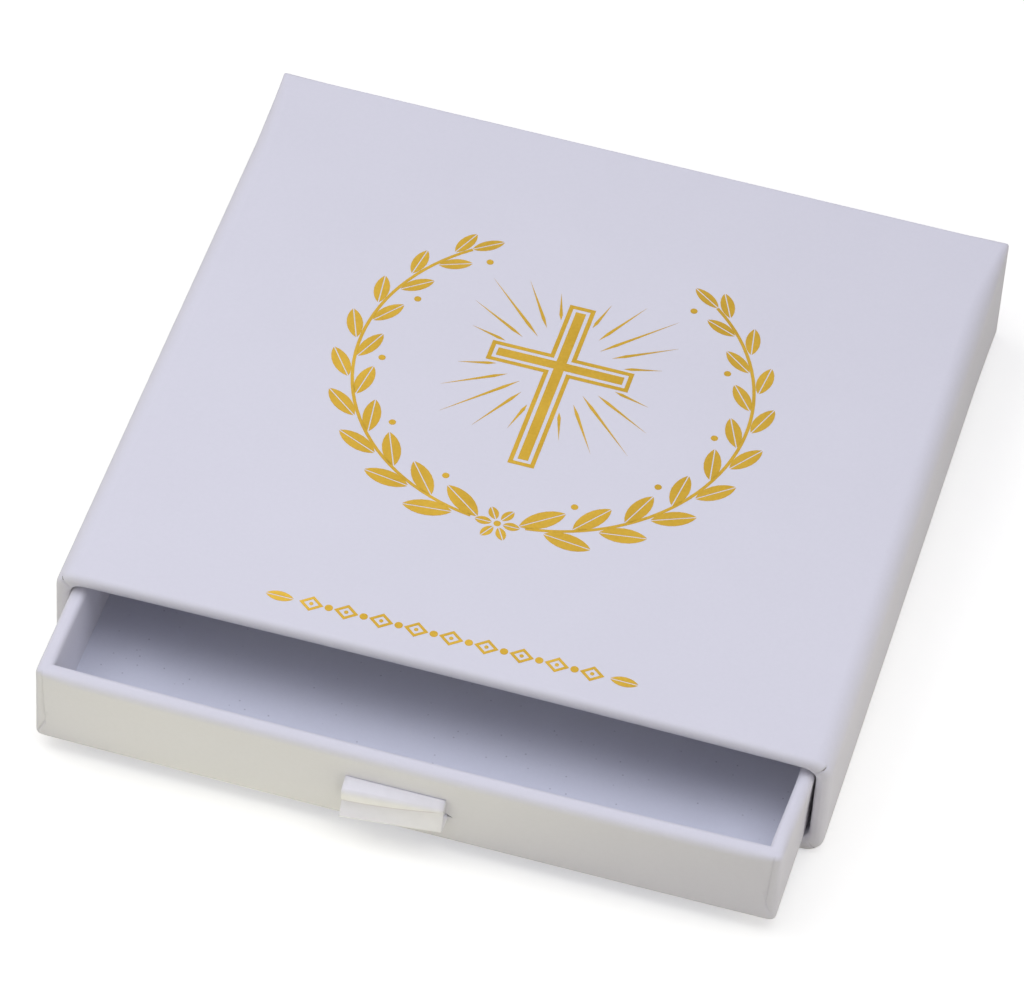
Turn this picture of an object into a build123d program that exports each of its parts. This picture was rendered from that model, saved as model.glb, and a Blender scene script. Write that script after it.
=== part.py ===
# A flat keepsake box for papers: a board sleeve with one open end, and a tray that slides in it.
# Both are greyboard covered with white paper, and a loop of satin ribbon pulls the tray out.
# Millimetres, +Z up, the open end towards -Y. The origin is the middle of the face it rests on.
import os
from build123d import *

# Sleeve, over its paper
sleeve_width = 95.0
sleeve_depth = 90.0
sleeve_height = 16.2
# Outside radius of the four long edges, where the board is bent round
long_edge_radius = 2.4

# Materials
board = 1.5
wrap = 0.2
lining = 0.1
stay_tape = 0.08
ribbon_thickness = 0.3

# How far the board's cut edges are crushed under the paper, which rounds over them
mouth_edge_crush = 0.25
rim_edge_crush = 0.35

# Sleeve paper: how far it turns into the mouth, and its margin round the base sheet
mouth_turn_in = 15.0
base_margin = 4.0
base_sheet_rise = 0.05
base_sheet_gap = 0.2
base_corner_radius = 1.0

# Seam of the sleeve board, and how far its tape reaches each way round the edge
seam_gap = 0.1
seam_tape_leg = 3.4

# Tray in the sleeve: running clearances, and where it stands in the photographed pose
tray_side_play = 0.6
tray_rests_left = 0.25
tray_floor_gap = 0.1
tray_top_gap = 0.7
tray_back_gap = 0.3
drawn_out = 13.0
# Radius of the tray's upright corners and lower edges, over the paper
tray_edge_radius = 0.6

# Tray corners: the walls' butt joints and the tape that stays them
butt_gap = 0.1
stay_leg = 9.0
stay_end_gap = 0.6

# Floor sheet
floor_sheet_inset = 0.3

# Slit for the ribbon: its height up the tray's front is a share of that wall, measured from below
ribbon_left_of_middle = 0.95
slit_share = 0.43
slit_side_room = 0.9
slit_height = 0.8

# Ribbon pull: how far its parts stand out from the tray's front, and how far above or below the slit
ribbon_width = 12.2
layer_gap = 0.04
tail_length = 4.4
loop_stand_off = 0.34
bulge_rise = 2.8
bulge_shoulder_drop = 0.4
bulge_crown_reach = 1.15
bulge_reach = 1.95
crease_reach = 1.4
crease_rise = 0.5
flap_reach = 1.7
flap_drop = 2.7
fold_width = 0.5
tight_bend = 0.2
easy_bend = 0.45

# Pocket in the tray's paper behind the front wall, over the ribbon's tails
tail_room = 0.3
pocket_slope = 20

# Sleeve surfaces worked out from the values above
front = -sleeve_depth / 2
back = sleeve_depth / 2
wall = wrap + board + wrap
mouth_width = sleeve_width - 2 * wall
mouth_floor = wall
mouth_ceiling = sleeve_height - wall
board_width = sleeve_width - 2 * wrap
board_bottom = wrap
board_top = sleeve_height - wrap
board_radius = long_edge_radius - wrap
board_front = front + wrap
board_back = back - wrap
hollow_width = board_width - 2 * board
hollow_bottom = board_bottom + board
hollow_top = board_top - board
hollow_radius = max(board_radius - board, 2 * wrap)
hollow_back = board_back - board

# Tray surfaces
tray_width = mouth_width - tray_side_play
tray_bottom = mouth_floor + tray_floor_gap
tray_top = mouth_ceiling - tray_top_gap
tray_depth = hollow_back - lining - tray_back_gap - front
tray_x = -tray_rests_left
tray_front = front - drawn_out
tray_y = tray_front + tray_depth / 2
tray_board_bottom = tray_bottom + wrap
tray_board_top = tray_top - wrap
tray_board_floor = tray_board_bottom + board
inner_width = tray_width - 2 * wall
inner_depth = tray_depth - 2 * wall
tray_corner_radius = tray_edge_radius - wrap


def run_back(width, low, high, radius, start, end, mode=Mode.ADD):
    """A bar with round long edges that runs from the plane y = start back to y = end."""
    with BuildSketch(Plane.XZ.offset(-start)) as section:
        with Locations((0, (low + high) / 2)):
            RectangleRounded(width, high - low, radius)
    extrude(section.sketch, amount=start - end, mode=mode)


def stand_up(width, depth, radius, low, high, mode=Mode.ADD):
    """A block over the middle of the tray, from z = low up to z = high."""
    with BuildSketch(Plane.XY.offset(low)) as footprint:
        with Locations((tray_x, tray_y)):
            RectangleRounded(width, depth, radius)
    extrude(footprint.sketch, amount=high - low, mode=mode)


# Sleeve board: one grooved board bent round all four long edges. Its two free edges are mitred and
# meet in the lower left edge.
with BuildPart() as sleeve_tube:
    run_back(board_width, board_bottom, board_top, board_radius, board_front, board_back)
    run_back(hollow_width, hollow_bottom, hollow_top, hollow_radius, board_front, board_back, Mode.SUBTRACT)
    mouth_edges = sleeve_tube.faces().sort_by(Axis.Y)[0].edges()
    chamfer(mouth_edges, mouth_edge_crush)

with BuildPart() as sleeve_board:
    add(sleeve_tube.part)
    seam_reach = board_radius + board
    seam_plane = Plane(
        origin=(-board_width / 2, 0, board_bottom), x_dir=(0, 1, 0), z_dir=(1, 0, -1)
    )
    with BuildSketch(seam_plane):
        Rectangle(2 * sleeve_depth, 2 * seam_reach)
    extrude(amount=seam_gap / 2, both=True, mode=Mode.SUBTRACT)
sleeve_board.part.label = "sleeve_board"

# Back board: a strip glued inside the rear end of the bent board, which closes it
with BuildPart() as sleeve_back_board:
    run_back(hollow_width, hollow_bottom, hollow_top, hollow_radius, hollow_back, board_back)
sleeve_back_board.part.label = "sleeve_back_board"

# Seam tape: gummed paper along the lower left edge, over the seam and under the wrap
with BuildPart() as sleeve_seam_tape:
    run_back(
        board_width + 2 * stay_tape,
        board_bottom - stay_tape,
        board_top + stay_tape,
        board_radius + stay_tape,
        board_front + mouth_edge_crush,
        board_back,
    )
    run_back(board_width, board_bottom, board_top, board_radius, board_front, board_back, Mode.SUBTRACT)
    with BuildSketch(Plane.XZ.offset(-front)):
        with Locations((-board_width / 2 - stay_tape, board_bottom - stay_tape)):
            tape_size = seam_tape_leg + stay_tape
            Rectangle(tape_size, tape_size, align=(Align.MIN, Align.MIN))
    extrude(amount=-sleeve_depth, mode=Mode.INTERSECT)
sleeve_seam_tape.part.label = "sleeve_seam_tape"

# Sleeve wrap: white paper over the bent board and across the closed end. It folds over the mouth's
# edges into the sleeve, and under the base as a margin round the base sheet.
with BuildPart() as sleeve_wrap:
    run_back(sleeve_width, base_sheet_rise, sleeve_height, long_edge_radius, front, back)
    outer_edges = sleeve_wrap.faces().sort_by(Axis.Y)[0].edges()
    fillet(outer_edges, mouth_edge_crush + wrap)
    back_edges = sleeve_wrap.faces().sort_by(Axis.Y)[-1].edges()
    chamfer(back_edges, wrap / 2)
    run_back(
        hollow_width, hollow_bottom, hollow_top, hollow_radius, board_front + mouth_turn_in, board_back,
        Mode.SUBTRACT,
    )
    run_back(
        mouth_width, mouth_floor, mouth_ceiling, hollow_radius - wrap, front,
        board_front + mouth_turn_in, Mode.SUBTRACT,
    )
    lip_edges = sleeve_wrap.faces().sort_by(Axis.Y)[0].inner_wires()[0].edges()
    fillet(lip_edges, mouth_edge_crush + wrap)
    add(sleeve_tube.part, mode=Mode.SUBTRACT)
    add(sleeve_seam_tape.part, mode=Mode.SUBTRACT)
    with BuildSketch(Plane.XY):
        base_width = sleeve_width - 2 * base_margin
        base_depth = sleeve_depth - 2 * base_margin
        RectangleRounded(base_width, base_depth, base_corner_radius)
    extrude(amount=board_bottom, mode=Mode.SUBTRACT)
sleeve_wrap.part.label = "sleeve_wrap"

# Base sheet: a sheet pasted under the base, inside the margin that the wrap leaves
with BuildPart() as sleeve_base_sheet:
    with BuildSketch(Plane.XY):
        RectangleRounded(
            base_width - 2 * base_sheet_gap, base_depth - 2 * base_sheet_gap, base_corner_radius
        )
    extrude(amount=board_bottom)
sleeve_base_sheet.part.label = "sleeve_base_sheet"

# Sleeve lining: paper inside the sleeve, from the end of the turn-in to the closed end
with BuildPart() as sleeve_lining:
    lining_front = board_front + mouth_turn_in
    run_back(hollow_width, hollow_bottom, hollow_top, hollow_radius, lining_front, hollow_back)
    run_back(
        hollow_width - 2 * lining, hollow_bottom + lining, hollow_top - lining, hollow_radius - lining,
        lining_front, hollow_back - lining, Mode.SUBTRACT,
    )
sleeve_lining.part.label = "sleeve_lining"

# Tray board, before its corners are parted: a floor and four walls folded up from one blank
with BuildPart() as tray_shell:
    board_outer_width = tray_width - 2 * wrap
    board_outer_depth = tray_depth - 2 * wrap
    stand_up(
        board_outer_width, board_outer_depth, tray_corner_radius, tray_board_bottom, tray_board_top
    )
    lower_edges = tray_shell.faces().sort_by(Axis.Z)[0].edges()
    fillet(lower_edges, tray_corner_radius)
    with BuildSketch(Plane.XY.offset(tray_board_floor)):
        with Locations((tray_x, tray_y)):
            Rectangle(inner_width + 2 * wrap, inner_depth + 2 * wrap)
    extrude(amount=tray_board_top - tray_board_floor, mode=Mode.SUBTRACT)
    rim_edges = tray_shell.faces().sort_by(Axis.Z)[-1].edges()
    chamfer(rim_edges, rim_edge_crush)

# Slit for the ribbon in the front wall
slit_x = tray_x - ribbon_left_of_middle
slit_z = tray_bottom + slit_share * (tray_top - tray_bottom)
slit_width = ribbon_width + 2 * slit_side_room
wall_back = tray_front + wrap + board

# Tray board: the side walls butt against the front and back walls, which run the full width
with BuildPart() as tray_board:
    add(tray_shell.part)
    side_x = tray_width / 2 - wrap - board / 2
    end_y = tray_depth / 2 - wrap - board - butt_gap / 2
    with BuildSketch(Plane.XY.offset(tray_board_floor)):
        with Locations((tray_x, tray_y)):
            with GridLocations(2 * side_x, 2 * end_y, 2, 2):
                Rectangle(board + 2 * butt_gap, butt_gap)
    extrude(amount=tray_board_top - tray_board_floor, mode=Mode.SUBTRACT)
    with BuildSketch(Plane.XZ.offset(-tray_front)):
        with Locations((slit_x, slit_z)):
            Rectangle(slit_width, slit_height)
    extrude(amount=-(wrap + board), mode=Mode.SUBTRACT)
tray_board.part.label = "tray_board"

# Corner stays: a strip of gummed paper round each upright corner, which holds the walls together
with BuildPart() as stay_ring:
    stay_low = tray_board_bottom + stay_end_gap
    stay_high = tray_board_top - stay_end_gap
    stand_up(
        board_outer_width + 2 * stay_tape, board_outer_depth + 2 * stay_tape,
        tray_corner_radius + stay_tape, stay_low, stay_high,
    )
    stand_up(
        board_outer_width, board_outer_depth, tray_corner_radius, stay_low, stay_high, Mode.SUBTRACT
    )

corner_names = {
    "front_left": (-1, -1),
    "front_right": (1, -1),
    "back_left": (-1, 1),
    "back_right": (1, 1),
}
corner_stays = {}
for corner, (side, end) in corner_names.items():
    with BuildPart() as corner_stay:
        add(stay_ring.part)
        with BuildSketch(Plane.XY.offset(stay_low)):
            with Locations((tray_x + side * tray_width / 2, tray_y + end * tray_depth / 2)):
                Rectangle(2 * stay_leg, 2 * stay_leg)
        extrude(amount=stay_high - stay_low, mode=Mode.INTERSECT)
    corner_stay.part.label = "tray_corner_stay_" + corner
    corner_stays[corner] = corner_stay.part

# Ribbon pull. One tail is glued up the back of the front wall. From there the ribbon comes out of the
# slit, bulges up, is creased, hangs down as a flap, folds and goes back in under itself, and its other
# tail lies on the first. The points follow the middle of its thickness, and are measured from the slit
# on the tray's front: out from the front, then up.
half_ribbon = ribbon_thickness / 2
half_step = half_ribbon + layer_gap / 2
first_tail = wrap + board + layer_gap + half_ribbon
second_tail = first_tail + 2 * half_step
tail_top = half_step + tail_length
near = loop_stand_off + half_ribbon
loop_points = [
    (-first_tail, tail_top),
    (-first_tail, half_step),
    (near, half_step),
    (near, bulge_rise - bulge_shoulder_drop),
    (bulge_crown_reach, bulge_rise),
    (bulge_reach, bulge_rise / 2),
    (crease_reach, crease_rise),
    (flap_reach, -flap_drop),
    (flap_reach - fold_width, -flap_drop),
    (near, -half_step),
    (-second_tail, -half_step),
    (-second_tail, tail_top),
]
loop_bends = [tight_bend] * 2 + [easy_bend] * 3 + [tight_bend] * 5
ribbon_plane = Plane(origin=(slit_x, tray_front, slit_z), x_dir=(0, -1, 0), z_dir=(-1, 0, 0))
with BuildPart() as pull_ribbon:
    with BuildSketch(ribbon_plane):
        with BuildLine():
            loop_line = FilletPolyline(*loop_points, radius=loop_bends)
            offset(amount=half_ribbon, side=Side.BOTH)
        make_face()
    extrude(amount=ribbon_width / 2, both=True)
pull_ribbon.part.label = "pull_ribbon"
print("ribbon length", round(loop_line.length, 1), "mm")

# Tray wrap: white paper under the floor and up the walls, over the rim and down inside to the board
# floor. It stands off the front wall where it covers the ribbon's tails.
pocket_depth = second_tail + half_ribbon - wrap - board + layer_gap
pocket_bottom = slit_z - slit_height / 2 - tail_room
pocket_top = slit_z + tail_top + half_ribbon + tail_room
with BuildPart() as tray_wrap:
    stand_up(tray_width, tray_depth, tray_edge_radius, tray_bottom, tray_top)
    wrap_lower_edges = tray_wrap.faces().sort_by(Axis.Z)[0].edges()
    fillet(wrap_lower_edges, tray_edge_radius)
    with BuildSketch(Plane.XY.offset(tray_board_floor)):
        with Locations((tray_x, tray_y)):
            Rectangle(inner_width, inner_depth)
    extrude(amount=tray_top - tray_board_floor, mode=Mode.SUBTRACT)
    wrap_rim_edges = tray_wrap.faces().sort_by(Axis.Z)[-1].edges()
    fillet(wrap_rim_edges, rim_edge_crush + wrap)
    with BuildSketch(Plane.XZ.offset(-wall_back)):
        with Locations((slit_x, (pocket_bottom + pocket_top) / 2)):
            pocket_height = pocket_top - pocket_bottom
            Rectangle(ribbon_width + 2 * (tail_room + wrap), pocket_height + 2 * wrap)
    extrude(amount=-(pocket_depth + wrap), taper=pocket_slope)
    with BuildSketch(Plane.XZ.offset(-wall_back)):
        with Locations((slit_x, (pocket_bottom + pocket_top) / 2)):
            Rectangle(ribbon_width + 2 * tail_room, pocket_height)
    extrude(amount=-pocket_depth, taper=pocket_slope, mode=Mode.SUBTRACT)
    with BuildSketch(Plane.XZ.offset(-tray_front)):
        with Locations((slit_x, slit_z)):
            Rectangle(slit_width, slit_height)
    extrude(amount=-wrap, mode=Mode.SUBTRACT)
    add(tray_shell.part, mode=Mode.SUBTRACT)
    for stay in corner_stays.values():
        add(stay, mode=Mode.SUBTRACT)
tray_wrap.part.label = "tray_wrap"

# Floor sheet: paper over the bottom of the tray, which covers the board between the turned-down wrap
with BuildPart() as tray_floor_sheet:
    with BuildSketch(Plane.XY.offset(tray_board_floor)):
        with Locations((tray_x, tray_y)):
            Rectangle(inner_width - 2 * floor_sheet_inset, inner_depth - 2 * floor_sheet_inset)
    extrude(amount=wrap)
tray_floor_sheet.part.label = "tray_floor_sheet"

pieces = [
    sleeve_board.part,
    sleeve_back_board.part,
    sleeve_seam_tape.part,
    sleeve_wrap.part,
    sleeve_base_sheet.part,
    sleeve_lining.part,
    tray_board.part,
    *corner_stays.values(),
    tray_wrap.part,
    tray_floor_sheet.part,
    pull_ribbon.part,
]
os.makedirs("parts", exist_ok=True)
for piece in pieces:
    export_step(piece, "parts/" + piece.label + ".step")
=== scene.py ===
import math

import bmesh
import bpy
from mathutils import Matrix, Vector


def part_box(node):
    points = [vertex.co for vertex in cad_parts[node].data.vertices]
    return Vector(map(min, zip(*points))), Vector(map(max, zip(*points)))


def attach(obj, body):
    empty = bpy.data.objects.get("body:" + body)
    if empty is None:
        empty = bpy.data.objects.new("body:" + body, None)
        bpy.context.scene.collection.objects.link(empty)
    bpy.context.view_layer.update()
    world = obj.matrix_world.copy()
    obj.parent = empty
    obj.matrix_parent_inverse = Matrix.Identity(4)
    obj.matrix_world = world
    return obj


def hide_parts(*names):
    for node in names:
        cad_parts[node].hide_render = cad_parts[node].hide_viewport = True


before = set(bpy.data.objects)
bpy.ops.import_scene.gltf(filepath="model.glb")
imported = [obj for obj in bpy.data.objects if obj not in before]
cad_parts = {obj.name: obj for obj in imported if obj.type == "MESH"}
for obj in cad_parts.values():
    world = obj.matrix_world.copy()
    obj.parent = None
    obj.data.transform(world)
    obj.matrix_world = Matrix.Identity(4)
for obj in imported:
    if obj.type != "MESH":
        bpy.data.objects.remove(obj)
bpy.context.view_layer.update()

# Greyboards of the sleeve and the tray: raw grey pasteboard, cut, creased and folded up, hidden under the
# paper. The lid springs up a little towards the open end, and the tray's front and right walls belly out a
# little, so the boards are copies of the flat ones, cut across and bent.
mm = 0.001
sleeve_low, sleeve_high = (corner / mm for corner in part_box("sleeve_wrap"))
tray_low, tray_high = (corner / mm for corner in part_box("tray_wrap"))
tray_middle = (tray_low + tray_high) / 2
lid_spring = 0.45
front_belly = 0.45
belly_at_foot = 0.4
belly_reach = 14.0
side_bow = 0.48
bow_run = 13.0
bow_end = 0.7
moved_whole = 2.5
bend_step = 4.0
spring_curve = 1.4
upper_from = 0.5
upper_within = 0.25
weld_distance = 0.001
plane_tolerance = 1e-5
touching = 0.01


def ease(value):
    """0 below 0 and 1 above 1, with a smooth run between."""
    value = min(max(value, 0), 1)
    return value * value * (3 - 2 * value)


def bend_lid(point):
    """Lifts the upper board and its papers, most at the middle of the mouth."""
    across = 1 - (point.x / sleeve_high.x) ** 2
    towards_mouth = (sleeve_high.y - point.y) / (sleeve_high.y - sleeve_low.y)
    upper = ease((point.z / sleeve_high.z - upper_from) / upper_within)
    point.z += lid_spring * across * max(towards_mouth, 0) ** spring_curve * upper


def bend_tray(point):
    """Pushes out the tray's front wall and its right wall, most at the middles of their rims."""
    across = 1 - ((point.x - tray_middle.x) / (tray_high.x - tray_middle.x)) ** 2
    from_front = ease((point.y - tray_low.y - bow_end) / bow_run)
    from_rear = ease((tray_high.y - point.y - bow_end) / bow_run)
    up = (point.z - tray_low.z) / (tray_high.z - tray_low.z)
    near = 1 - ease((point.y - tray_low.y - moved_whole) / belly_reach)
    beside = 1 - ease((tray_high.x - point.x - moved_whole) / belly_reach)
    point.y -= front_belly * max(across, 0) * (belly_at_foot + (1 - belly_at_foot) * up) * near
    point.x += side_bow * (from_front * from_rear) * up * up * beside


def cut_by_plane(shape, faces, spot, normal):
    """Cuts some of a mesh's faces where a plane crosses them."""
    geometry = dict.fromkeys(part for face in faces for part in [face, *face.edges, *face.verts])
    bmesh.ops.bisect_plane(shape, geom=list(geometry), plane_co=spot, plane_no=normal, dist=plane_tolerance)


def cut_across(shape, axis, places, faces=None):
    """Cuts a mesh by planes square to an axis, so that it can bend or be parted there."""
    for place in places:
        spot = Vector((0, 0, 0))
        normal = Vector((0, 0, 0))
        spot[axis] = place
        normal[axis] = 1
        chosen = [face for face in shape.faces if faces is None or faces(face)]
        cut_by_plane(shape, chosen, spot, normal)


def steps(low, high, step):
    """Even places between two limits, no further apart than a step."""
    count = math.ceil((high - low) / step)
    return [low + (high - low) * place / count for place in range(1, count)]


class Wire:
    """An output of a material's nodes. Sums and products of wires are Math nodes."""

    def __init__(self, tree, socket=None):
        self.tree = tree
        self.socket = socket

    def node(self, kind, settings, sockets, output=0):
        """Adds a node with its settings, then the values or wires of its sockets, and gives an output."""
        made = self.tree.nodes.new("ShaderNode" + kind)
        for name, value in settings.items():
            if name == "stops":
                elements = made.color_ramp.elements
                while len(elements) < len(value):
                    elements.new(1)
                for stop, (place, tone) in zip(elements, value):
                    stop.position = place
                    stop.color = tone
            else:
                setattr(made, name, value)
        for name, value in sockets.items():
            if isinstance(value, Wire):
                self.tree.links.new(value.socket, made.inputs[name])
            else:
                made.inputs[name].default_value = value
        return Wire(self.tree, made.outputs[output])

    def maths(self, operation, first, second):
        """Adds a Math node for an operation that has no sign in Python."""
        return self.node("Math", {"operation": operation}, {0: first, 1: second})

    def __add__(self, other):
        return self.maths("ADD", self, other)

    def __sub__(self, other):
        return self.maths("SUBTRACT", self, other)

    def __rsub__(self, other):
        return self.maths("SUBTRACT", other, self)

    def __mul__(self, other):
        return self.maths("MULTIPLY", self, other)

    __radd__ = __add__
    __rmul__ = __mul__

    def noise(self, place, size, detail=2, roughness=0.5):
        """Noise whose lumps are about so many millimetres across."""
        return self.node(
            "TexNoise", {},
            {"Vector": place, "Scale": 1 / (size * mm), "Detail": detail, "Roughness": roughness},
        )

    def relief(self, height, strength, depth, **under):
        """Bumps a surface by a wire, so many millimetres deep, over another relief if one is given."""
        return self.node("Bump", {}, {"Strength": strength, "Distance": depth * mm, "Height": height, **under})

    def mix(self, share, first, second):
        """The colour that lies this share of the way from the first to the second."""
        return self.node("Mix", {"data_type": "RGBA"}, {0: share, 6: first, 7: second}, 2)

    def tint(self, low, high):
        """The colour from low to high that this wire's value picks."""
        return self.mix(self, (*low, 1), (*high, 1))


def new_finish(name):
    """A material, the maker of its nodes, and its shader's sockets."""
    material = bpy.data.materials.new(name)
    material.use_nodes = True
    shader = material.node_tree.nodes["Principled BSDF"]
    return material, Wire(material.node_tree), shader.inputs


def feed(sockets, name, wire):
    """Joins a wire to one of the shader's sockets."""
    wire.tree.links.new(wire.socket, sockets[name])


def greyboard():
    """Raw grey pasteboard: mottled pulp with small flecks."""
    material, wires, shader = new_finish("greyboard")
    place = wires.node("TexCoord", {}, {}, "Object")
    pulp = wires.noise(place, size=0.6, detail=4)
    flecks = wires.noise(place, size=0.25, detail=1)
    mottle = pulp * 0.7 + flecks * 0.3
    feed(shader, "Base Color", mottle.tint(low=(0.2, 0.19, 0.17), high=(0.36, 0.34, 0.3)))
    feed(shader, "Normal", wires.relief(pulp, strength=0.4, depth=0.05))
    shader["Roughness"].default_value = 0.9
    return material


def place_piece(name, shape, body, material):
    """Turns a mesh made in millimetres into a piece that moves with a body."""
    bmesh.ops.scale(shape, vec=(mm, mm, mm), verts=shape.verts)
    mesh = bpy.data.meshes.new(name)
    shape.to_mesh(mesh)
    shape.free()
    mesh.materials.append(material)
    piece = bpy.data.objects.new(name, mesh)
    bpy.context.scene.collection.objects.link(piece)
    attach(piece, body)
    return piece


def bent_copy(node, body, material, bend):
    """A copy of a flat piece of the frame, cut across and bent, in that piece's place."""
    shape = bmesh.new()
    shape.from_mesh(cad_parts[node].data)
    bmesh.ops.scale(shape, vec=(1 / mm, 1 / mm, 1 / mm), verts=shape.verts)
    bmesh.ops.remove_doubles(shape, verts=shape.verts, dist=weld_distance)
    low, high = (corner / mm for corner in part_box(node))
    for axis in (0, 1, 2):
        cut_across(shape, axis, steps(low[axis], high[axis], bend_step))
    for vertex in shape.verts:
        bend(vertex.co)
    piece = place_piece("bent_" + node, shape, body, material)
    if "custom_normal" in piece.data.attributes:
        piece.data.attributes.remove(piece.data.attributes["custom_normal"])
    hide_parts(node)


grey = greyboard()
for node in ("sleeve_board", "sleeve_back_board"):
    bent_copy(node, "sleeve", grey, bend_lid)
bent_copy("tray_board", "tray", grey, bend_tray)

# Tape: gummed buff paper over the sleeve board's seam and round the tray's four corners, pasted on before
# the wraps, which hide it.
def gummed_tape():
    """Buff paper with a short fibre."""
    material, wires, shader = new_finish("gummed_tape")
    place = wires.node("TexCoord", {}, {}, "Object")
    fibre = wires.noise(place, size=0.4, detail=3)
    feed(shader, "Base Color", fibre.tint(low=(0.56, 0.47, 0.34), high=(0.68, 0.6, 0.46)))
    feed(shader, "Normal", wires.relief(fibre, strength=0.2, depth=0.03))
    shader["Roughness"].default_value = 0.75
    return material


tape = gummed_tape()
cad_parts["sleeve_seam_tape"].data.materials.clear()
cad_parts["sleeve_seam_tape"].data.materials.append(tape)
for node in sorted(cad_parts):
    if node.startswith("tray_corner_stay"):
        bent_copy(node, "tray", tape, bend_tray)

# Sleeve wrap: white paper with a faint pressed grain, glued round the sleeve board and turned in at the
# mouth, where its corners are slit on a mitre. It leaves a margin under the base.
wrap_thickness = 0.2
wall = 1.9
long_edge_radius = 2.4
mouth_edge_radius = 0.9
turn_in = 15.0
base_margin = 4.0
base_fold_reach = 6.0
back_edge_radius = 0.3
back_corner_radius = 0.4
corner_slack = 0.1
sharpened_run = 12.0
sharpening = 0.6
back_cuts = (0.7, 1.5, 2.6, 4, 5.5, 7.5, 9.5, 11.5)
wrap_step = 6.0
mouth_corner_radius = 1.5
tight_corner_radius = 0.95
mitre_width = 0.2
mitre_depth = 0.3
mitre_run = 0.6
mitre_reach = 2.5
mitre_length = 3
line_tolerance = 1e-3
back_seam_z = 8.6
back_seam_step = 0.1
back_seam_width = 0.05
back_seam_run = 1.5
back_seam_end = 0.5
fold_width = 0.12
fold_depth = 0.07
fold_start = 0.2
speck_spacing = 1.5
speck_share = 0.1
speck_tone = (0.3, 0.3, 0.36, 1)


def white_paper(name, low_tone, high_tone, roughness, specks=0.0):
    """Matt white paper: cloudy tone, fine fibres, and a pressed grain that catches the light.

    Unlaminated paper also shows sparse grey specks of pulp.
    """
    material, wires, shader = new_finish(name)
    place = wires.node("TexCoord", {}, {}, "Object")
    cloud = wires.noise(place, size=16)
    fibre = wires.noise(place, size=0.5, detail=4, roughness=0.6)
    grain = wires.noise(place, size=0.16, detail=1)
    swell = wires.noise(place, size=9, detail=1)
    mottle = cloud * 0.45 + fibre * 0.55
    tone = mottle.tint(low_tone, high_tone)
    if specks:
        away = wires.node("TexVoronoi", {}, {"Vector": place, "Scale": 1 / (speck_spacing * mm)})
        speck = wires.maths("MAXIMUM", (speck_share - away) * (2 / speck_share), 0)
        tone = wires.mix(speck * specks, tone, speck_tone)
    feed(shader, "Base Color", tone)
    feed(shader, "Roughness", fibre * 0.16 + (roughness - 0.08))
    pressed = wires.relief(fibre * 0.6 + grain * 0.4, strength=0.35, depth=0.02)
    feed(shader, "Normal", wires.relief(swell, strength=0.25, depth=0.2, Normal=pressed))
    shader["Specular IOR Level"].default_value = 0.4
    return material


wrap_paper = white_paper(
    "wrap_paper", low_tone=(0.74, 0.732, 0.775), high_tone=(0.8, 0.792, 0.835), roughness=0.55
)


def block(low, high):
    """A plain block between two corners."""
    shape = bmesh.new()
    bmesh.ops.create_cube(shape, size=1)
    bmesh.ops.scale(shape, vec=high - low, verts=shape.verts)
    bmesh.ops.translate(shape, vec=(low + high) / 2, verts=shape.verts)
    return shape


def facing(shape, direction):
    """The face that looks that way and lies furthest out."""
    direction = Vector(direction)
    return max(
        (face for face in shape.faces if face.normal.dot(direction) > 0.999),
        key=lambda face: face.calc_center_median().dot(direction),
    )


def round_edges(shape, radius, segments, chosen):
    """Rounds the edges between faces that stand square, where they and their middles pass a test."""
    edges = []
    for edge in shape.edges:
        if edge.is_manifold and edge.calc_face_angle(0) > 1:
            if chosen((edge.verts[0].co + edge.verts[1].co) / 2, edge):
                edges.append(edge)
    bmesh.ops.bevel(
        shape, geom=edges, offset=radius, segments=segments, profile=0.5, affect="EDGES", material=-1
    )


def runs_along(edge, axis):
    """Whether an edge runs straight along an axis."""
    way = (edge.verts[0].co - edge.verts[1].co).normalized()
    return abs(way[axis]) > 0.999


def hollow(shape, face, wall, depth):
    """Sinks a face between walls, and opens the bottom of the hollow."""
    bmesh.ops.inset_region(shape, faces=[face], thickness=wall, use_even_offset=True)
    bmesh.ops.inset_region(shape, faces=[face], thickness=0, depth=-depth)
    bmesh.ops.delete(shape, geom=[face], context="FACES")


def give_thickness(piece, thickness, offset):
    """Gives a skin its thickness, and keeps its flats flat where its edges are round."""
    for polygon in piece.data.polygons:
        polygon.use_smooth = True
    solid = piece.modifiers.new("thickness", "SOLIDIFY")
    solid.thickness = thickness * mm
    solid.offset = offset
    weighted = piece.modifiers.new("flats", "WEIGHTED_NORMAL")
    weighted.keep_sharp = True
    return solid


def redraw_corner(point, half_width, low, high, drawn, radius):
    """Moves a point on a rounded long edge, drawn with one radius, to where another radius puts it."""
    corner_x = half_width if point.x > 0 else -half_width
    corner_z = high if point.z > (low + high) / 2 else low
    if max(abs(point.x - corner_x), abs(point.z - corner_z)) < drawn + corner_slack:
        point.x = corner_x + (point.x - corner_x) * radius / drawn
        point.z = corner_z + (point.z - corner_z) * radius / drawn


def in_mouth(middle, edge):
    """Whether an edge lies in the plane of the mouth."""
    return abs(middle.y - sleeve_low.y) < touching


def at_back(middle, edge):
    """Whether an edge lies in the plane of the closed end."""
    return abs(middle.y - sleeve_high.y) < touching


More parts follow.
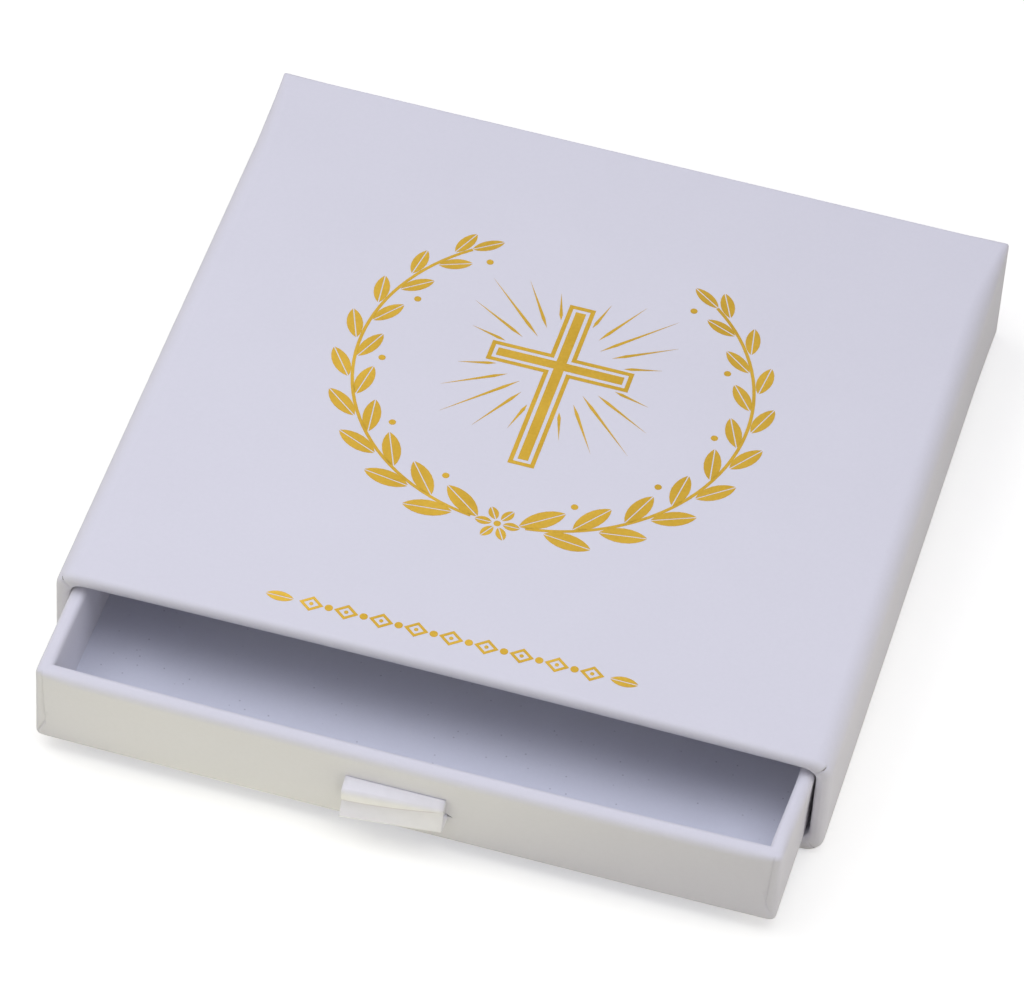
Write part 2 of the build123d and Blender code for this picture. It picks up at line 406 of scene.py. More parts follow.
shape = block(sleeve_low, sleeve_high)
round_edges(shape, long_edge_radius, segments=10, chosen=lambda middle, edge: runs_along(edge, 1))
hollow(shape, facing(shape, (0, -1, 0)), wall, turn_in)
mouth_x = sleeve_high.x - wall
for vertex in shape.verts:
    tight = vertex.co.x < 0 and vertex.co.z < sleeve_high.z / 2
    redraw_corner(
        vertex.co, mouth_x, sleeve_low.z + wall, sleeve_high.z - wall, long_edge_radius - wall,
        tight_corner_radius if tight else mouth_corner_radius,
    )
round_edges(shape, mouth_edge_radius, segments=4, chosen=in_mouth)
round_edges(shape, back_edge_radius, segments=3, chosen=at_back)
for axis in (0, 1):
    cut_across(shape, axis, steps(sleeve_low[axis], sleeve_high[axis], wrap_step))
cut_across(shape, 1, [sleeve_high.y - place for place in back_cuts])
for vertex in shape.verts:
    share = min(max((sleeve_high.y - vertex.co.y) / sharpened_run, 0), 1)
    radius = back_corner_radius + (long_edge_radius - back_corner_radius) * share ** sharpening
    redraw_corner(vertex.co, sleeve_high.x, sleeve_low.z, sleeve_high.z, long_edge_radius, radius)


def underneath(face):
    """Whether a face is part of the flat base."""
    return face.normal.z < -0.999 and face.calc_center_median().z < 1


window_x = sleeve_high.x - base_margin
window_y = sleeve_high.y - base_margin
cut_across(shape, 0, (-window_x, window_x), underneath)
cut_across(shape, 1, (-window_y, window_y), underneath)
window = [
    face for face in shape.faces
    if underneath(face) and abs(face.calc_center_median().x) < window_x
    and abs(face.calc_center_median().y) < window_y
]
bmesh.ops.delete(shape, geom=window, context="FACES")
for side in (-1, 1):
    for end, mouth_z in ((-1, sleeve_low.z + wall), (1, sleeve_high.z - wall)):
        corner = Vector((side * mouth_x, sleeve_low.y, mouth_z))
        slant = Vector((side, 0, -end)).normalized()
        for shift in (-mitre_width / 2, 0, mitre_width / 2):
            near = [
                face for face in shape.faces
                if face.calc_center_median().y < sleeve_low.y + mouth_edge_radius
                and abs(face.calc_center_median().x - side * (mouth_x + wall / 2)) < mitre_reach
                and abs(face.calc_center_median().z - mouth_z - end * wall / 2) < mitre_reach
            ]
            cut_by_plane(shape, near, corner + slant * shift, slant)
        for vertex in shape.verts:
            away = vertex.co - corner
            outwards = (side * away.x + end * away.z) / math.sqrt(2)
            on_mitre = abs(away.dot(slant)) < line_tolerance and away.length < mitre_length
            if on_mitre and away.y < mouth_edge_radius:
                vertex.co.y += mitre_depth * ease(outwards / mitre_run)


def closed_end(face):
    """Whether a face is on the sleeve's closed end."""
    return face.normal.y > 0.99


def press_fold(shape, faces, corner, along, normal, reach, depth=fold_depth, off_face=0.02):
    """Presses a thin fold line into the paper, from a corner and along a direction.

    It moves only points that are no further than off_face from the plane through the corner.
    """
    along = Vector(along).normalized()
    normal = Vector(normal)
    slant = along.cross(normal)
    for shift in (-fold_width / 2, 0, fold_width / 2):
        near = [
            face for face in shape.faces
            if faces(face) and (face.calc_center_median() - corner).length < reach + wrap_step
        ]
        cut_by_plane(shape, near, corner + slant * shift, slant)
    for vertex in shape.verts:
        away = vertex.co - corner
        run = away.dot(along)
        on_line = abs(away.dot(slant)) < line_tolerance and abs(away.dot(normal)) < off_face
        if on_line and fold_start < run < reach:
            vertex.co -= normal * depth


cut_across(shape, 2, (back_seam_z, back_seam_z + back_seam_width), closed_end)
for side in (-1, 1):
    for end_z, seam_side in ((0, 1), (sleeve_high.z, -1)):
        corner = Vector((side * sleeve_high.x, sleeve_high.y, end_z))
        reach = abs(back_seam_z - end_z) * math.sqrt(2)
        press_fold(shape, closed_end, corner, (-side, 0, seam_side), (0, 1, 0), reach)
    for end in (-1, 1):
        corner = Vector((side * sleeve_high.x, end * sleeve_high.y, 0))
        press_fold(shape, underneath, corner, (-side, -end, 0), (0, 0, -1), base_fold_reach)
for vertex in shape.verts:
    from_side = sleeve_high.x - abs(vertex.co.x)
    flap = from_side > abs(vertex.co.z - sleeve_high.z) and vertex.co.z > back_seam_z + touching
    flat = abs(vertex.co.y - sleeve_high.y) < 0.1 and vertex.co.z < sleeve_high.z - back_seam_end
    if flap and flat:
        vertex.co.y += back_seam_step * ease((from_side - sleeve_high.z + vertex.co.z) / back_seam_run)
for vertex in shape.verts:
    bend_lid(vertex.co)
sleeve_wrap = place_piece("sleeve_paper", shape, "sleeve", wrap_paper)
give_thickness(sleeve_wrap, wrap_thickness, -1).use_even_offset = True
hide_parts("sleeve_wrap")

# Stamped design: gold foil pressed into the lid's paper with a hot die before the paper was glued on. A
# plain cross with fine rays stands in a wreath of two leafy sprays, over a row of lozenges and dots.
foil_thickness = 0.03
foil_sink = 0.008
design_y = 3.5
cross_arms = (-9.0, -1.65, 1.65, 9.0)
cross_heights = (-17.5, -1.65, 1.65, 10.5)
cross_rise = 3.0
cross_line = 0.55
cross_gap = 0.45
rays = ((15, 7.8, 12.5), (30, 6.6, 15.0), (45, 5.6, 16.8), (60, 6.6, 15.0), (75, 7.8, 12.5))
ray_width = 0.44
ray_shoulder = 0.6
wreath_radius = 24.5
stem_width = 0.42
stem_start = 8
stem_stop = 4
leaf_length = 6.0
leaf_width = 2.5
vein = 0.15
leaf_count = 9
leaf_shrink = 0.3
leaf_clearance = 0.35
leaf_shift = 0.45
leaf_stagger = 3.4
leaf_splay = 22
spray_start = 16
spray_end = 136
berry_turn = 7.0
berry_depth = 3.9
berry_radius = 0.45
tip_turn = 9
tip_length = 0.7
tip_width = 0.65
petal_place = 1.75
petal_length = 2.1
petal_width = 1.25
row_y = -40.3
row_pitch = 4.3
row_half_count = 4
lozenge_length = 3.0
lozenge_width = 2.4
lozenge_line = 0.36
lozenge_dot = 0.26
row_dot = 0.5
row_end = 3.9
row_leaf_length = 3.4
row_leaf_width = 1.5


def set_down(shape, made, x, y, angle=0.0, length=1.0, width=1.0):
    """Sizes, turns and moves what was just made, so that it lies in the design."""
    sized = Matrix.Diagonal((length, width, 1, 1))
    place = Matrix.Translation((x, y, 0)) @ Matrix.Rotation(angle, 4, "Z") @ sized
    bmesh.ops.transform(shape, matrix=place, verts=made)


def leaf(shape, x, y, angle, length, width):
    """A pointed leaf in two halves, with the bare paper for its vein."""
    for side in (-1, 1):
        made = bmesh.ops.create_circle(shape, cap_ends=True, radius=1, segments=20)["verts"]
        for vertex in made:
            full = side * vertex.co.y
            vertex.co.y = side * max(full * abs(full) ** 0.5, vein / width)
        set_down(shape, made, x, y, angle, length / 2, width / 2)


def ray(shape, angle, start, end, width):
    """A fine sliver that is widest near its inner end."""
    made = bmesh.ops.create_circle(shape, cap_ends=True, radius=1, segments=4)["verts"]
    for vertex in made:
        if abs(vertex.co.y) > 0.5:
            vertex.co.x -= ray_shoulder
    middle = (start + end) / 2
    reach_x, reach_y = math.cos(angle) * middle, math.sin(angle) * middle
    set_down(shape, made, reach_x, reach_y, angle, (end - start) / 2, width / 2)


def lozenge(shape, x, y, length, width, line):
    """The outline of a lozenge, bare inside."""
    made = bmesh.ops.create_circle(shape, cap_ends=True, radius=1, segments=4)["verts"]
    set_down(shape, made, x, y, 0, length / 2, width / 2)
    face = made[0].link_faces[0]
    bmesh.ops.inset_region(shape, faces=[face], use_boundary=True, thickness=line, use_even_offset=True)
    bmesh.ops.delete(shape, geom=[face], context="FACES")


def dot(shape, x, y, radius):
    """A round dot."""
    made = bmesh.ops.create_circle(shape, cap_ends=True, radius=radius, segments=14)["verts"]
    set_down(shape, made, x, y)


def gold_foil():
    """Gold foil that took up some of the paper's roughness."""
    material, wires, shader = new_finish("gold_foil")
    place = wires.node("TexCoord", {}, {}, "Object")
    drift = wires.noise(place, size=7)
    speckle = wires.noise(place, size=0.35, detail=3, roughness=0.65)
    mottle = drift * 0.6 + speckle * 0.4
    feed(shader, "Base Color", mottle.tint(low=(0.37, 0.218, 0.018), high=(0.66, 0.43, 0.065)))
    feed(shader, "Roughness", speckle * 0.25 + 0.26)
    feed(shader, "Normal", wires.relief(speckle, strength=0.5, depth=0.03))
    shader["Metallic"].default_value = 1
    return material


design = bmesh.new()
bmesh.ops.create_grid(design, x_segments=3, y_segments=3, size=1)
for vertex in design.verts:
    vertex.co.x = cross_arms[round((vertex.co.x + 1) * 1.5)]
    vertex.co.y = cross_heights[round((vertex.co.y + 1) * 1.5)]
beside_arms = [
    face for face in design.faces
    if min(abs(face.calc_center_median().x), abs(face.calc_center_median().y)) > cross_arms[2]
]
bmesh.ops.delete(design, geom=beside_arms, context="FACES")
bmesh.ops.dissolve_faces(design, faces=design.faces[:])
face = design.faces[:][0]
for thickness in (cross_line, cross_gap):
    ring = bmesh.ops.inset_region(
        design, faces=[face], use_boundary=True, thickness=thickness, use_even_offset=True
    )["faces"]
bmesh.ops.delete(design, geom=ring, context="FACES")
bmesh.ops.delete(design, geom=[edge for edge in design.edges if not edge.link_faces], context="EDGES")

for quarter in range(4):
    for turn, start, end in rays:
        ray(design, math.radians(90 * quarter + turn), start, end, ray_width)
bmesh.ops.translate(design, vec=(0, cross_rise, 0), verts=design.verts)


def round_wreath(turn, radius):
    """A place so many degrees round from the wreath's foot."""
    swing = math.radians(turn - 90)
    return math.cos(swing) * radius, math.sin(swing) * radius


for side in (-1, 1):
    for place in range(leaf_count):
        share = place / (leaf_count - 1)
        turn = side * (spray_start + (spray_end - spray_start) * share)
        size = 1 - leaf_shrink * share
        for hand in (-1, 1):
            radius = wreath_radius + hand * (stem_width / 2 + leaf_clearance + leaf_shift * leaf_width * size)
            x, y = round_wreath(turn + side * leaf_stagger * hand, radius)
            way = math.radians(turn - 90 + side * (90 - hand * leaf_splay))
            leaf(design, x, y, way, leaf_length * size, leaf_width * size)
        if place % 2 == 0:
            x, y = round_wreath(turn + side * berry_turn, wreath_radius - berry_depth * size)
            dot(design, x, y, berry_radius)
    tip = side * (spray_end + tip_turn)
    x, y = round_wreath(tip, wreath_radius)
    leaf(design, x, y, math.radians(tip - 90 + side * 90), leaf_length * tip_length, leaf_width * tip_width)
    ends = [
        design.verts.new((*round_wreath(side * stem_start, wreath_radius + half_width), 0))
        for half_width in (-stem_width / 2, stem_width / 2)
    ]
    stem = design.edges.new(ends)
    bmesh.ops.spin(
        design, geom=[*ends, stem], cent=(0, 0, 0), axis=(0, 0, side),
        angle=math.radians(spray_end - stem_stop), steps=40,
    )

# The knot at the foot of the wreath: six petals round a bead.
for petal in range(6):
    turn = math.radians(60 * petal)
    x, y = math.cos(turn) * petal_place, math.sin(turn) * petal_place - wreath_radius
    leaf(design, x, y, turn, petal_length, petal_width)
dot(design, 0, -wreath_radius, berry_radius)
bmesh.ops.translate(design, vec=(0, design_y, 0), verts=design.verts)

for place in range(-row_half_count, row_half_count + 1):
    lozenge(design, place * row_pitch, row_y, lozenge_length, lozenge_width, lozenge_line)
    dot(design, place * row_pitch, row_y, lozenge_dot)
for place in range(-row_half_count, row_half_count):
    dot(design, (place + 0.5) * row_pitch, row_y, row_dot)
for side in (-1, 1):
    x = side * (row_half_count * row_pitch + row_end)
    leaf(design, x, row_y, 0 if side > 0 else math.pi, row_leaf_length, row_leaf_width)

bmesh.ops.recalc_face_normals(design, faces=design.faces)
for face in design.faces:
    if face.normal.z < 0:
        face.normal_flip()
for vertex in design.verts:
    vertex.co.z = sleeve_high.z - foil_sink
    bend_lid(vertex.co)
stamped = place_piece("stamped_foil", design, "sleeve", gold_foil())
solid = stamped.modifiers.new("foil", "SOLIDIFY")
solid.thickness = foil_thickness * mm
solid.offset = 1

# Base sheet and lining: plain paper pasted under the base inside the wrap's margin, and uncoated paper with
# a few specks pasted inside the sleeve, from the end of the turned-in wrap to the closed end.
base_paper = white_paper("base_paper", low_tone=(0.7, 0.7, 0.73), high_tone=(0.77, 0.77, 0.8), roughness=0.62)
lining_paper = white_paper(
    "lining_paper", low_tone=(0.72, 0.735, 0.81), high_tone=(0.78, 0.795, 0.87), roughness=0.62, specks=0.35
)
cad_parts["sleeve_base_sheet"].data.materials.clear()
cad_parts["sleeve_base_sheet"].data.materials.append(base_paper)
bent_copy("sleeve_lining", "sleeve", lining_paper, bend_lid)

# Tray wrap: the same paper under the tray, up its walls, over the rims and down inside. The front flap
# overlaps the ears of the side papers, and is slit for the ribbon. Behind it, a pocket holds the tails.
tray_edge_radius = 0.7
inner_edge_radius = 0.7
outer_rim_radius = 1.1
softened_from = 0.8
softened_over = 2
board_floor = 3.7
wrap_step_x = 5
wrap_step_y = 4
wrap_step_z = 1.2
ear_width_at_rim = 0.95
ear_width_at_foot = 1.35
ear_foot = 3.2
flap_step = 0.1
flap_clearance = 0.04
flap_edge = 0.5
flap_edge_run = 0.4
flap_foot = 0.3
flap_depth = 1.2
flap_fade_from = 0.3
flap_fade = 0.8
ribbon_width = 12.2
slit_room_left = 0.3
slit_room_right = 1.0
slit_height = 0.62
slit_taper = 1.1
slit_droop = 0.35
slit_end_share = 0.1
seam_depth = 0.08
right_seam_share = 0.25
lip_height = 0.15
lip_top = 0.9
lip_drop = 3.2
lip_run = 5
ripple_share = 0.2
ripple_length = 5.3
long_ripple_length = 13
ribbon_off_middle = 0.95
slit_share = 0.43
ribbon_x = tray_middle.x - ribbon_off_middle
slit_z = tray_low.z + slit_share * (tray_high.z - tray_low.z)
pocket_rise = 0.92
pocket_top = slit_z + 5.0
pocket_bottom = slit_z - 0.7
pocket_slope = 1.0
pocket_cuts = (0.3, 0.8, 1.3)


def on_outside(middle, edge):
    """Whether an edge is on the tray's outside, up to its rim."""
    beside = min(abs(middle.x - tray_low.x), abs(middle.x - tray_high.x))
    ahead = min(abs(middle.y - tray_low.y), abs(middle.y - tray_high.y))
    return min(beside, ahead, abs(middle.z - tray_low.z)) < touching


def in_rim(middle, edge):
    """Whether an edge lies in the plane of the rim."""
    return abs(middle.z - tray_high.z) < touching


def soften_rim(point):
    """Rounds the outer edge of the tray's rim over more widely, except on the left and near corners."""
    beside = min(point.x - tray_low.x, tray_high.x - point.x)
    ahead = min(point.y - tray_low.y, tray_high.y - point.y)
    down = tray_high.z - point.z
    left = beside < ahead and point.x < tray_middle.x
    if min(beside, ahead) < tray_edge_radius + touching and down < tray_edge_radius + touching and not left:
        growth = outer_rim_radius / tray_edge_radius - 1
        growth *= ease((max(beside, ahead) - softened_from) / softened_over)
        point.z -= down * growth
        if beside < ahead:
            point.x -= beside * growth
        else:
            point.y += ahead * growth * (1 if point.y < tray_middle.y else -1)


def front_skin(face):
    """Whether a face is on the flat outside of the front wall."""
    return face.normal.y < -0.99 and face.calc_center_median().y < tray_low.y + 0.1


def inner_skin(face):
    """Whether a face is on the flat inside of the front wall."""
    return face.normal.y > 0.99 and face.calc_center_median().y < tray_low.y + 2.5


def front_wall(face):
    """Whether a face is on the outside of the front wall or on its rounded edges."""
    return face.normal.y < -0.2 and face.calc_center_median().y < tray_low.y + 0.6


shape = block(tray_low, tray_high)
hollow(shape, facing(shape, (0, 0, 1)), wall, tray_high.z - board_floor)
round_edges(shape, tray_edge_radius, segments=6, chosen=on_outside)
round_edges(shape, inner_edge_radius, segments=6, chosen=in_rim)
for axis, step in enumerate((wrap_step_x, wrap_step_y, wrap_step_z)):
    cut_across(shape, axis, steps(tray_low[axis], tray_high[axis], step))
for vertex in shape.verts:
    soften_rim(vertex.co)

# The slit for the ribbon, its ends pinched, and behind it the pocket's rise.
slit_left = ribbon_x - ribbon_width / 2 - slit_room_left
slit_right = ribbon_x + ribbon_width / 2 + slit_room_right
cut_across(shape, 0, (slit_left, slit_left + slit_room_left, slit_right - slit_taper, slit_right), front_skin)
cut_across(shape, 2, (slit_z - slit_height / 2, slit_z + slit_height / 2), front_skin)
slit = [
    face for face in shape.faces
    if front_skin(face) and slit_left < face.calc_center_median().x < slit_right
    and abs(face.calc_center_median().z - slit_z) < slit_height / 2
]
bmesh.ops.delete(shape, geom=slit, context="FACES")
for vertex in shape.verts:
    at_end = min(abs(vertex.co.x - slit_left), abs(vertex.co.x - slit_right)) < touching
    if at_end and abs(vertex.co.z - slit_z) < slit_height and abs(vertex.co.y - tray_low.y) < touching:
        vertex.co.z = slit_z + (vertex.co.z - slit_z) * slit_end_share
        if vertex.co.x > ribbon_x:
            vertex.co.z -= slit_droop
half_ribbon = ribbon_width / 2
for reach in pocket_cuts:
    cut_across(shape, 0, (ribbon_x - half_ribbon - reach, ribbon_x + half_ribbon + reach), inner_skin)
    cut_across(
        shape, 2, (pocket_bottom - reach + pocket_cuts[0], pocket_top + reach - pocket_cuts[0]), inner_skin
    )
for vertex in shape.verts:
    if abs(vertex.co.y - tray_low.y - wall) < touching and vertex.co.z > board_floor + 0.1:
        beside = ease(half_ribbon + pocket_cuts[-1] - abs(vertex.co.x - ribbon_x))
        below = ease(vertex.co.z - pocket_bottom + pocket_slope)
        above = ease(pocket_top + pocket_slope - vertex.co.z)
        vertex.co.y += pocket_rise * beside * below * above

# The seam of the front flap over the ears of the side papers, and the flap itself, a paper's step further out
# and fuller towards the rim.
for side, depth in ((-1, seam_depth), (1, right_seam_share * seam_depth)):
    corner_x = tray_low.x if side < 0 else tray_high.x
    rim = Vector((corner_x - side * ear_width_at_rim, tray_low.y, tray_high.z))
    knee = Vector((corner_x - side * ear_width_at_foot, tray_low.y, tray_low.z + ear_foot))
    toe = Vector((corner_x, tray_low.y, tray_low.z))
    for start in (rim, toe):
        way = knee - start
        press_fold(shape, front_wall, start, way, (0, -1, 0), way.length, depth, tray_edge_radius)
for vertex in shape.verts:
    inside = tray_high.x - tray_middle.x - abs(vertex.co.x - tray_middle.x)
    if vertex.co.y < tray_low.y + flap_depth:
        outer = 1 - ease((vertex.co.y - tray_low.y - flap_fade_from) / flap_fade)
        lip = 1 - ease((tray_high.z - lip_top - vertex.co.z) / lip_drop)
        ripple = math.sin(vertex.co.x / ripple_length) * math.sin(vertex.co.x / long_ripple_length + 1)
        ripple = 1 - ripple_share + ripple_share * ripple
        vertex.co.y -= lip_height * lip * ripple * outer * ease(inside / lip_run)
        up = vertex.co.z - tray_low.z
        down_share = (tray_high.z - vertex.co.z) / (tray_high.z - tray_low.z - ear_foot)
        ear_here = min(
            ear_width_at_foot * up / ear_foot,
            ear_width_at_rim + (ear_width_at_foot - ear_width_at_rim) * down_share,
        )
        if inside > ear_here + flap_clearance and up > flap_foot:
            vertex.co.y -= flap_step * outer * ease((inside - flap_edge) / flap_edge_run)
for vertex in shape.verts:
    bend_tray(vertex.co)
tray_wrap = place_piece("tray_paper", shape, "tray", wrap_paper)
give_thickness(tray_wrap, wrap_thickness, -1).use_even_offset = True
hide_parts("tray_wrap")

# Floor sheet: the paper on the bottom of the tray, pasted over the turned-down wrap, with its edges
# pressed into the corners.
floor_overlap = 0.04
floor_bottom = board_floor + 0.01
floor_top = 3.9
sheet_margin = 0.5
sheet_curl = 0.1
sheet_step = 6
sheet_low = Vector((tray_low.x + wall - floor_overlap, tray_low.y + wall - floor_overlap, floor_bottom))
sheet_high = Vector((tray_high.x - wall + floor_overlap, tray_high.y - wall + floor_overlap, floor_top))
shape = block(sheet_low, sheet_high)
for axis in (0, 1):
    cut_across(shape, axis, steps(sheet_low[axis], sheet_high[axis], sheet_step))
    cut_across(shape, axis, (sheet_low[axis] + sheet_margin, sheet_high[axis] - sheet_margin))
for vertex in shape.verts:
    if vertex.co.z > floor_top - touching:
        edge_gap = min(
            vertex.co.x - sheet_low.x, sheet_high.x - vertex.co.x,
            vertex.co.y - sheet_low.y, sheet_high.y - vertex.co.y,
        )
        vertex.co.z += sheet_curl * (1 - ease(edge_gap / sheet_margin))
    bend_tray(vertex.co)
floor_sheet = place_piece("floor_paper", shape, "tray", lining_paper)
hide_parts("tray_floor_sheet")

# Ribbon pull: white satin, 12.2 mm wide, a loop with both tails glued in the pocket behind the front wall. It
# comes out of the slit, bulges, is creased, hangs as a flap, folds and goes back in, and leans out more at the
# left. Each row of the loop is how far out, how far up and how rounded.
ribbon_thickness = 0.24
ribbon_columns = 18
thread_pitch = 0.11
rib_pitch = 0.22
loop = [
    (-1.89, 4.5, 0), (-1.89, 0.15, 0.2), (0.16, 0.15, 0.12), (0.12, 2.5, 0.1), (1.6, 1.55, 0.6),
    (1.05, 0.3, 0.12), (1.9, -2.0, 0.12), (1.6, -2.15, 0.12), (0.4, -0.15, 0.2), (-2.17, -0.15, 0.2),
    (-2.17, 4.5, 0),
]
ribbon_stand_off = 0.16
ribbon_shift = 0.15
lean = 0.3
bulge_lean = 0.03
flap_lean = 0.12
lean_from = 0.25
outside_run = 0.3
crease_out, crease_up = loop[5][:2]
crease_tilt = 0.82
crease_lift = 0.17
crease_sag = 0.35
crease_reach = 1.3
crease_stand_off = 0.4
# The next three set a dark line of painted shade along the ribbon's crease: its half width, its strength and
# its tone.
painted_crease_shade_half_width = 0.14
painted_crease_shade_strength = 0.7
painted_crease_shade_tone = (0.62, 0.55, 0.6, 1)
fold_skew = 0.35
fold_run = 2


def satin(crease_length):
    """White satin with fine threads, and a dark line of painted shade along its crease."""
    material, wires, shader = new_finish("satin_ribbon")
    along = wires.node("Attribute", {"attribute_name": "along"}, {}, "Fac")
    across = wires.node("Attribute", {"attribute_name": "across"}, {}, "Fac")
    threads = wires.maths("SINE", across * (2 * math.pi / thread_pitch), 0)
    ribs = wires.maths("SINE", along * (2 * math.pi / rib_pitch), 0)
    place = wires.node("TexCoord", {}, {}, "Object")
    sheen = wires.noise(place, size=1.6)
    tone = sheen.tint(low=(0.87, 0.86, 0.9), high=(0.95, 0.94, 0.98))
    # Painted shade: the colour darkens towards a dark tone in a narrow band along the crease.
    off_crease = wires.maths("ABSOLUTE", along - crease_length, 0)
    painted_crease_shade = wires.maths("MAXIMUM", 1 - off_crease * (1 / painted_crease_shade_half_width), 0) * painted_crease_shade_strength
    feed(shader, "Base Color", wires.mix(painted_crease_shade, tone, painted_crease_shade_tone))
    feed(shader, "Roughness", sheen * 0.15 + 0.36)
    feed(shader, "Normal", wires.relief(threads * 0.5 + ribs * 0.3, strength=0.3, depth=0.02))
    shader["Sheen Weight"].default_value = 0.15
    return material


def at(point):
    """A point of the ribbon's line, rounded so that it can be looked up."""
    return tuple(round(value, 4) for value in point.yz)


shape = bmesh.new()
line = [shape.verts.new((0, -out, up)) for out, up, radius in loop]
for first, second in zip(line, line[1:]):
    shape.edges.new((first, second))
for vertex, (out, up, radius) in zip(line, loop):
    if radius:
        bmesh.ops.bevel(
            shape, geom=[vertex], offset=radius, segments=4, profile=0.5, affect="VERTICES", material=-1
        )

# How far along the ribbon each point of its line is, walked from one tail to the other.
ends = [vertex for vertex in shape.verts if len(vertex.link_edges) == 1]
step = min(ends, key=lambda vertex: vertex.co.y)
lengths = {}
walked = 0
before = None
while step is not None:
    lengths[at(step.co)] = walked
    onward = [edge.other_vert(step) for edge in step.link_edges if edge.other_vert(step) is not before]
    before = step
    step = onward[0] if onward else None
    if step is not None:
        walked += (step.co - before.co).length

bmesh.ops.translate(shape, vec=(-ribbon_width / 2, 0, 0), verts=shape.verts)
edges = shape.edges[:]
for column in range(ribbon_columns):
    made = bmesh.ops.extrude_edge_only(shape, edges=edges)["geom"]
    moved = [part for part in made if isinstance(part, bmesh.types.BMVert)]
    edges = [part for part in made if isinstance(part, bmesh.types.BMEdge) and part.is_boundary]
    edges = [edge for edge in edges if all(vertex in moved for vertex in edge.verts)]
    bmesh.ops.translate(shape, vec=(ribbon_width / ribbon_columns, 0, 0), verts=moved)
lowest = min(shape.verts, key=lambda vertex: vertex.co.z)
fold_length = lengths[at(lowest.co)]
crease_point = min(lengths, key=lambda point: math.hypot(point[0] + crease_out, point[1] - crease_up))
crease_length = lengths[crease_point]
along = shape.verts.layers.float.new("along")
across = shape.verts.layers.float.new("across")
for vertex in shape.verts:
    vertex[along] = lengths[at(vertex.co)]
    vertex[across] = vertex.co.x
    side = vertex.co.x / (ribbon_width / 2)
    out, up = -vertex.co.y, vertex.co.z
    outside = ease(out / outside_run)
    if out > ribbon_stand_off:
        out = ribbon_stand_off + (out - ribbon_stand_off) * (1 - lean * side)
    if abs(up) > lean_from:
        up *= 1 + (bulge_lean if up > 0 else -flap_lean) * side * outside
    beside_crease = ease(1 - abs(up - crease_up) / crease_reach)
    beside_crease *= ease((out - crease_stand_off) / outside_run)
    up += beside_crease * (crease_tilt * side + crease_lift - crease_sag * (1 - side * side))
    shift = ribbon_shift + fold_skew * ease((vertex[along] - fold_length) / fold_run) * outside
    vertex.co = Vector((ribbon_x + vertex.co.x + shift, tray_low.y - flap_step - out, slit_z + up))
    bend_tray(vertex.co)
bmesh.ops.recalc_face_normals(shape, faces=shape.faces)
ribbon = place_piece("ribbon_pull", shape, "tray", satin(crease_length))
give_thickness(ribbon, ribbon_thickness, 0)
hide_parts("pull_ribbon")

# Floor and light: a plain pale table under three broad soft lamps, with a pale sky round it. Two small low
# lamps stand for light from things near the box, and one at the table's height for light that the table
# throws back. Seen by the camera, the table and the sky are white.
table_half_width = 1.5
table_gap = 0.00003
floor_mesh = bmesh.new()
bmesh.ops.create_grid(floor_mesh, x_segments=1, y_segments=1, size=table_half_width)
mesh = bpy.data.meshes.new("table_top")
floor_mesh.to_mesh(mesh)
floor_mesh.free()
mesh.transform(Matrix.Translation((0, 0, -table_gap)))
table_top = bpy.data.objects.new("table_top", mesh)
bpy.context.scene.collection.objects.link(table_top)
material, wires, shader = new_finish("table_top")
seen = wires.node("LightPath", {}, {}, "Is Camera Ray")
shader["Base Color"].default_value = (0.86, 0.84, 0.7, 1)
shader["Roughness"].default_value = 0.9
shader["Emission Strength"].default_value = 1
feed(shader, "Emission Color", seen.tint(low=(0, 0, 0), high=(0.42, 0.43, 0.48)))
mesh.materials.append(material)

world = bpy.data.worlds.new("sky")
bpy.context.scene.world = world
world.use_nodes = True
sky = Wire(world.node_tree)
height = sky.node("SeparateXYZ", {}, {"Vector": sky.node("TexCoord", {}, {}, "Generated")}, "Z")
sky_tones = (
    (0, (0.04, 0.04, 0.04, 1)),
    (0.35, (0.76, 0.73, 0.7, 1)),
    (0.7, (0.06, 0.055, 0.13, 1)),
    (1, (0, 0, 0, 1)),
)
sky_tone = sky.node("ValToRGB", {"stops": sky_tones}, {0: height})
seen = sky.node("LightPath", {}, {}, "Is Camera Ray") + sky.node("LightPath", {}, {}, "Is Glossy Ray")
sky_or_white = sky.mix(sky.maths("MINIMUM", seen, 1), sky_tone, (1, 1, 1, 1))
world.node_tree.links.new(sky_or_white.socket, world.node_tree.nodes["Background"].inputs["Color"])


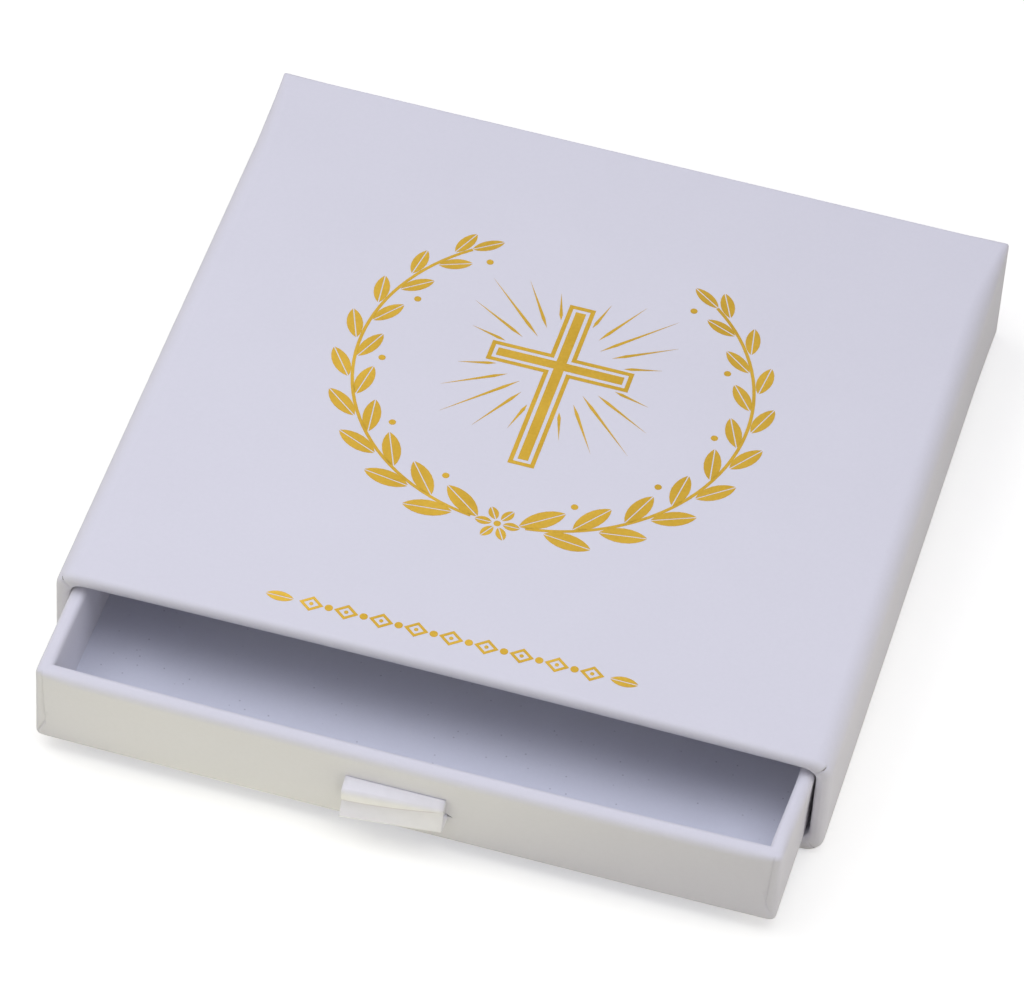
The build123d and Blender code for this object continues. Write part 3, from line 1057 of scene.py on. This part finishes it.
def lamp(name, place, aim, size, power, tone):
    """A round soft lamp that the camera doesn't see."""
    light = bpy.data.lights.new(name, "AREA")
    light.shape = "DISK"
    light.size = size
    light.energy = power
    light.color = tone
    made = bpy.data.objects.new(name, light)
    made.location = place
    made.rotation_mode = "QUATERNION"
    made.rotation_quaternion = (Vector(aim) - Vector(place)).to_track_quat("-Z", "Y")
    made.visible_camera = False
    bpy.context.scene.collection.objects.link(made)


box_foot = (0, 0, 0)
front_wall_left = (-0.03, -0.058, 0.008)
right_side_front = (0.0475, -0.042, 0.008)
straight_up = (-0.02, -0.138, 1)
cream = (1, 1, 0.64)
lamp("upper_left", (-0.2, 0.06, 0.36), box_foot, size=0.4, power=0.6, tone=(0.9, 0.91, 1))
lamp("upper_front", (-0.14, -0.14, 0.36), box_foot, size=0.3, power=0.26, tone=(0.88, 0.9, 1))
lamp("upper_right", (0.12, -0.06, 0.36), box_foot, size=0.3, power=0.49, tone=(0.87, 0.89, 1))
lamp("front_glow", (-0.15, -0.19, 0.08), front_wall_left, size=0.1, power=0.015, tone=cream)
lamp("table_glow", (-0.02, -0.138, 0.001), straight_up, size=0.16, power=0.026, tone=cream)
lamp("side_glow", (0.13, -0.054, 0.03), right_side_front, size=0.06, power=0.01, tone=(1, 0.97, 0.92))

# Camera: a pinhole camera fitted to the box's own corners and edges. It turns round the aim, looks down on
# the lid from the front right, and tips a little.
azimuth = math.radians(13.173)
elevation = math.radians(47.483)
roll = math.radians(4.04)
distance = 0.791345
focal_length_in_pixels = 6513.5
image_width = 1024
aim = Vector((-1.2, -9.045, 8.0)) * mm
back = Vector(
    (math.sin(azimuth) * math.cos(elevation), -math.cos(azimuth) * math.cos(elevation), math.sin(elevation))
)
level = (-back).cross(Vector((0, 0, 1))).normalized()
upright = level.cross(-back)
right = math.cos(roll) * level + math.sin(roll) * upright
up = math.cos(roll) * upright - math.sin(roll) * level
camera_data = bpy.data.cameras.new("camera")
camera_data.sensor_width = 36
camera_data.lens = focal_length_in_pixels / image_width * camera_data.sensor_width
camera = bpy.data.objects.new("camera", camera_data)
turned = Matrix((right, up, back)).transposed().to_4x4()
camera.matrix_world = Matrix.Translation(aim + back * distance) @ turned
bpy.context.scene.collection.objects.link(camera)
bpy.context.scene.camera = camera
bpy.context.scene.view_settings.view_transform = "Standard"
